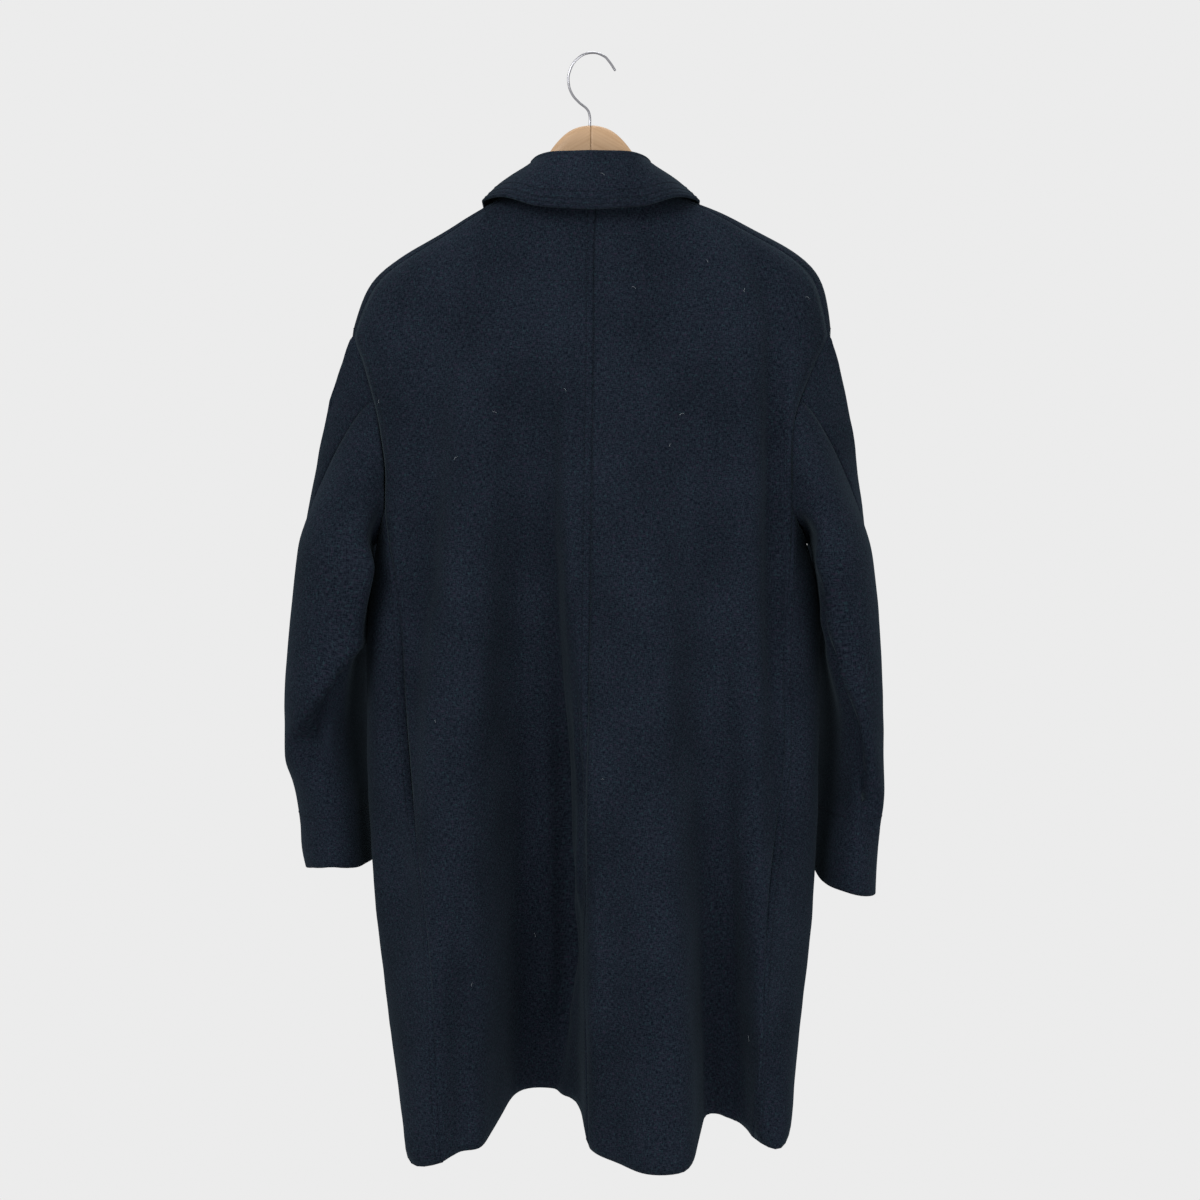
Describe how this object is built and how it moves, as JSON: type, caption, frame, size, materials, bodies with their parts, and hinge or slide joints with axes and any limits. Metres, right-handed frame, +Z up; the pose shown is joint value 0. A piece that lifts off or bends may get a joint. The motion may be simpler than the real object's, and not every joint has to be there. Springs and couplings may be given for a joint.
{
  "type": "wool overcoat on hanger",
  "caption": "Knee-length wide overcoat of dark wool with a fold-over collar and drop-shoulder sleeves, hanging in deep folds on a contoured wooden hanger.",
  "frame": {"origin": "inside top of the hanger's hook, where a rail carries it", "axes": "+Z up, the coat's back faces -Y and its buttoned front +Y, +X is the wearer's right side"},
  "size_m": [0.6353, 0.2655, 1.1384],
  "materials": {
    "wool": "plain-woven heathered wool, slightly fuzzy, matt",
    "button": "dark horn-like, half gloss",
    "hanger_wood": "light wood, smooth satin lacquer",
    "hook_metal": "polished chrome wire"
  },
  "bodies": {
    "root": {"back_left": "wool", "back_right": "wool", "front_left": "wool", "front_right": "wool", "sleeve_left_top": "wool", "sleeve_left_under": "wool", "sleeve_right_top": "wool", "sleeve_right_under": "wool", "collar": "wool", "button_1": "button", "button_2": "button", "button_3": "button", "button_4": "button", "hanger_arm_left": "hanger_wood", "hanger_arm_right": "hanger_wood", "hanger_hook": "hook_metal"}
  },
  "joints": []
}
